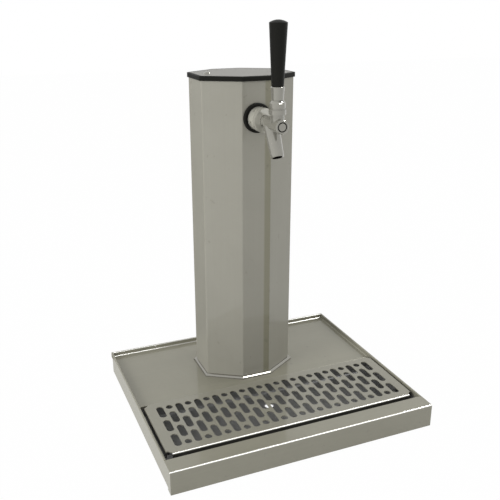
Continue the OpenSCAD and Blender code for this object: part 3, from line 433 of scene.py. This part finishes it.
def painted_shade_below(material, height, fade, tint):
    """Darkens a sheet under a height, over a short fade: painted shade on the flanges that
    stand down in the gap around it.
    """
    tree = material.node_tree
    under = node_of(tree, "ShaderNodeMapRange", From_Min=height, From_Max=height - fade)
    tree.links.new(axes_of(tree)["Z"], under.inputs["Value"])
    tinted(tree, under.outputs[0], tint, "MULTIPLY")


# Painted shade: the grille's flanges are darkened below its top, where the gap around it lies in
# shadow.
grille_top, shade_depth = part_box("grille")[1][2], 0.0018
painted_shade_below(grille_steel, height=grille_top - shade_depth, fade=0.0012,
                 tint=(0.16, 0.16, 0.17))


# Column: one tube folded to eight sides from 1.5 mm stainless sheet, with its grain up the
# tower. A darker, more olive band down one side of its front is a painted reflection.
column_steel = steel_material(
    "column_steel", (0.316, 0.307, 0.262), (0.335, 0.326, 0.279), along_z, smooth=0.42,
    smear=0.05, metal=0.12, shine=0.2)
wear(column_steel, "tower_column")


def painted_reflection_band(material, start, fade, end, rear, tint):
    """A painted reflection as a band of tint down the front: x from start, over a fade, to end,
    and y less than rear.
    """
    tree = material.node_tree
    axes = axes_of(tree)
    soft = node_of(tree, "ShaderNodeMapRange", From_Min=start, From_Max=start + fade)
    tree.links.new(axes["X"], soft.inputs["Value"])
    mask = soft.outputs[0]
    for axis, limit in (("X", end), ("Y", rear)):
        within = node_of(tree, "ShaderNodeMath", operation="LESS_THAN")
        within.inputs[1].default_value = limit
        tree.links.new(axes[axis], within.inputs[0])
        both = node_of(tree, "ShaderNodeMath", operation="MULTIPLY")
        tree.links.new(mask, both.inputs[0])
        tree.links.new(within.outputs[0], both.inputs[1])
        mask = both.outputs[0]
    tinted(tree, mask, tint, "MULTIPLY")


# Painted reflection: the band is darker and more olive than the steel around it.
painted_reflection_band(column_steel, start=0.0130, fade=0.003, end=0.0252, rear=0.03,
            tint=(0.76, 0.75, 0.65))


# Collar: a ring of rounded steel edging, mitred at the eight corners and welded around the
# column's foot, then buffed to a mirror.
even_grain = (90, 90, 90)
collar_steel = steel_material(
    "collar_steel", (0.27, 0.262, 0.23), (0.28, 0.272, 0.24), even_grain, smooth=0.14, smear=0.03,
    metal=0.9, shine=0.5)
wear(collar_steel, "base_collar")


# Cap and wall flange: black mouldings with the fine spark texture of their mould. The cap
# sits over the column's upper edge, and the flange is clamped under the tap's nut.
def moulded_skin_group():
    """The fine spark texture of a mould as noise in the relief, and broad faint clouds that
    change the tone and the polish between two values each."""
    tree, given, out = group_of(
        "moulded_skin",
        {"Point": ("NodeSocketVector", None), "Tone": ("NodeSocketColor", (0.01, 0.01, 0.01, 1)),
         "Pale": ("NodeSocketColor", (0.0125, 0.0125, 0.0125, 1)),
         "Smooth": ("NodeSocketFloat", 0.46), "Dull": ("NodeSocketFloat", 0.56),
         "Spark": ("NodeSocketFloat", 500.0), "Relief": ("NodeSocketFloat", 0.1)},
        {"Color": "NodeSocketColor", "Roughness": "NodeSocketFloat", "Normal": "NodeSocketVector"})
    link = tree.links.new
    spark = node_of(tree, "ShaderNodeTexNoise", Detail=2.0)
    link(given.outputs["Point"], spark.inputs["Vector"])
    link(given.outputs["Spark"], spark.inputs["Scale"])
    cloud = node_of(tree, "ShaderNodeTexNoise", Scale=26.0, Detail=3.0)
    link(given.outputs["Point"], cloud.inputs["Vector"])
    tone = node_of(tree, "ShaderNodeMix", data_type="RGBA")
    link(cloud.outputs[0], tone.inputs["Factor"])
    link(given.outputs["Tone"], tone.inputs[6])
    link(given.outputs["Pale"], tone.inputs[7])
    link(tone.outputs[2], out.inputs["Color"])
    polish = node_of(tree, "ShaderNodeMapRange", From_Min=0.3, From_Max=0.7)
    link(cloud.outputs[0], polish.inputs["Value"])
    link(given.outputs["Smooth"], polish.inputs["To Min"])
    link(given.outputs["Dull"], polish.inputs["To Max"])
    link(polish.outputs[0], out.inputs["Roughness"])
    bump = node_of(tree, "ShaderNodeBump", Distance=0.0003)
    link(given.outputs["Relief"], bump.inputs["Strength"])
    link(spark.outputs[0], bump.inputs["Height"])
    link(bump.outputs[0], out.inputs["Normal"])
    return tree


moulded_skin = moulded_skin_group()


def plastic_material(name, colour, rough, relief, spark):
    """Moulded plastic, with little shine of its own. Its clouds are up to a quarter paler. Rough
    is the roughness, relief the depth of the spark texture and spark how often it changes over a
    metre."""
    made = bpy.data.materials.new(name)
    made.use_nodes = True
    tree = made.node_tree
    shader = tree.nodes["Principled BSDF"]
    shader.inputs["Specular IOR Level"].default_value = 0.1
    place = node_of(tree, "ShaderNodeTexCoord")
    skin = node_of(tree, "ShaderNodeGroup", node_tree=moulded_skin)
    skin.inputs["Tone"].default_value = (*colour, 1)
    skin.inputs["Pale"].default_value = (*(1.25*c for c in colour), 1)
    skin.inputs["Smooth"].default_value = rough - 0.04
    skin.inputs["Dull"].default_value = rough + 0.06
    skin.inputs["Spark"].default_value = spark
    skin.inputs["Relief"].default_value = relief
    tree.links.new(place.outputs["Object"], skin.inputs["Point"])
    tree.links.new(skin.outputs["Color"], shader.inputs["Base Color"])
    tree.links.new(skin.outputs["Roughness"], shader.inputs["Roughness"])
    tree.links.new(skin.outputs["Normal"], shader.inputs["Normal"])
    return made


black_tone = (0.009, 0.009, 0.0075)
cap_black = plastic_material("cap_black", black_tone, rough=0.5, relief=0.12, spark=900)
wear(cap_black, "tower_cap", "wall_flange")


# Cap plate: a satin stainless plate let into the cap and held by its two screws, with its
# grain across the tower.
plate_steel = steel_material(
    "plate_steel", (0.235, 0.228, 0.20), (0.245, 0.238, 0.21), along_x, smooth=0.4, smear=0.05,
    metal=0.1, shine=0.12)
wear(plate_steel, "cap_plate")


# Fasteners: stainless screws, studs, washers, nuts and hose clamp, turned or pressed and
# left plain and bright. They are screwed in and can be undone.
turned_grain = (300, 300, 300)
fastener_steel = steel_material(
    "fastener_steel", (0.26, 0.255, 0.225), (0.29, 0.285, 0.255), turned_grain, smooth=0.08,
    smear=0.06, metal=0.9, shine=0.4)
wear(fastener_steel, "cap_screws", "tower_studs", "stud_washers", "stud_nuts", "hose_clamp",
     "seal_nut")


# Tap: forged and turned brass under bright chrome plate, with water marks that dull it in
# places. Inside the spout the bore is painted near black and bare, as painted shade.
tap_chrome = steel_material(
    "tap_chrome", (0.255, 0.248, 0.212), (0.27, 0.262, 0.226), even_grain, smooth=0.08, smear=0.05,
    metal=0.42, shine=0.7)
wear(tap_chrome, "tap_body", "shank", "shank_locknut", "tail_piece", "tail_nut",
     "tap_shaft", "front_plug", "lever_bonnet", "tap_lever", "lever_ferrule")


def painted_shade_bore(material, mouth, outward, radius, depth, tint):
    """Painted shade in a bore: the tint and no metallic share where a point is nearer to its axis
    than the radius, and no further behind its mouth than the depth. The first is the length of
    the point's arm from the mouth crossed with the outward direction, the second that arm's dot
    product with it."""
    tree = material.node_tree
    place = node_of(tree, "ShaderNodeTexCoord")
    arm = node_of(tree, "ShaderNodeVectorMath", operation="SUBTRACT")
    arm.inputs[1].default_value = mouth
    tree.links.new(place.outputs["Object"], arm.inputs[0])
    across = node_of(tree, "ShaderNodeVectorMath", operation="CROSS_PRODUCT")
    away = node_of(tree, "ShaderNodeVectorMath", operation="LENGTH")
    along = node_of(tree, "ShaderNodeVectorMath", operation="DOT_PRODUCT")
    for product in (across, along):
        product.inputs[1].default_value = outward
        tree.links.new(arm.outputs[0], product.inputs[0])
    tree.links.new(across.outputs[0], away.inputs[0])
    near = node_of(tree, "ShaderNodeMath", operation="LESS_THAN")
    near.inputs[1].default_value = radius
    tree.links.new(away.outputs["Value"], near.inputs[0])
    behind = node_of(tree, "ShaderNodeMath", operation="GREATER_THAN")
    behind.inputs[1].default_value = -depth
    tree.links.new(along.outputs["Value"], behind.inputs[0])
    both = node_of(tree, "ShaderNodeMath", operation="MULTIPLY")
    tree.links.new(near.outputs[0], both.inputs[0])
    tree.links.new(behind.outputs[0], both.inputs[1])
    tinted(tree, both.outputs[0], tint, "MIX")
    metallic = tree.nodes["Principled BSDF"].inputs["Metallic"]
    bare = node_of(tree, "ShaderNodeMix", data_type="FLOAT", A=metallic.default_value, B=0.0)
    tree.links.new(both.outputs[0], bare.inputs["Factor"])
    tree.links.new(bare.outputs[0], metallic)


spout = next(mount for mount in frame["record"]["mounts"] if mount["name"] == "spout_outlet")
spout_r = spout["dims"]["r_mm"]/1000
# Painted shade: the spout's bore, near black.
painted_shade_bore(tap_chrome, spout["pos_m"], spout["axis"], radius=spout_r + 0.0001, depth=0.025,
             tint=(0.012, 0.011, 0.009))


# Coupling nut: turned brass under the same chrome, painted nearly twice as pale as the tap's
# chrome to stand for the light it catches. It screws on the shank and pulls the tap against
# the wall flange.
nut_chrome_painted_paler = steel_material(
    "nut_chrome_painted_paler", (0.49, 0.48, 0.42), (0.51, 0.50, 0.44), even_grain, smooth=0.1, smear=0.05,
    metal=0.35, shine=0.9)
wear(nut_chrome_painted_paler, "coupling_nut")


# Handle: a tapered black moulding with a satin skin, screwed on the lever's stud by a brass
# insert that is moulded into it.
handle_black = plastic_material("handle_black", black_tone, rough=0.45, relief=0.06, spark=700)
wear(handle_black, "tap_handle")
insert_brass = steel_material(
    "insert_brass", (0.55, 0.38, 0.15), (0.60, 0.43, 0.19), turned_grain, smooth=0.25, smear=0.1,
    metal=0.8, shine=0.3)
wear(insert_brass, "handle_insert")


# Bushing: the seat under the lever's ball, turned from white acetal, which slides well. The
# bonnet holds it down.
bushing_white = plastic_material(
    "bushing_white", (0.62, 0.62, 0.60), rough=0.35, relief=0.03, spark=400)
wear(bushing_white, "lever_bushing")


# Seals: moulded black rubber rings and washers, pressed between the metal pieces. Only the
# ring in the front plug shows.
seal_rubber = plastic_material(
    "seal_rubber", (0.012, 0.012, 0.012), rough=0.6, relief=0.2, spark=500)
wear(seal_rubber, "coupling_washer", "tail_washer", "shaft_seal", "plug_ring")


# Beer line and foam: a clear plastic tube from the tap's tail down through the deck, and the
# block of pale rigid foam that fills the column around it and keeps it cold.
line_plastic = plastic_material(
    "line_plastic", (0.62, 0.66, 0.66), rough=0.25, relief=0.05, spark=200)
wear(line_plastic, "beer_line")
foam_block = plastic_material(
    "foam_block", (0.70, 0.67, 0.52), rough=0.85, relief=0.8, spark=350)
wear(foam_block, "column_foam")
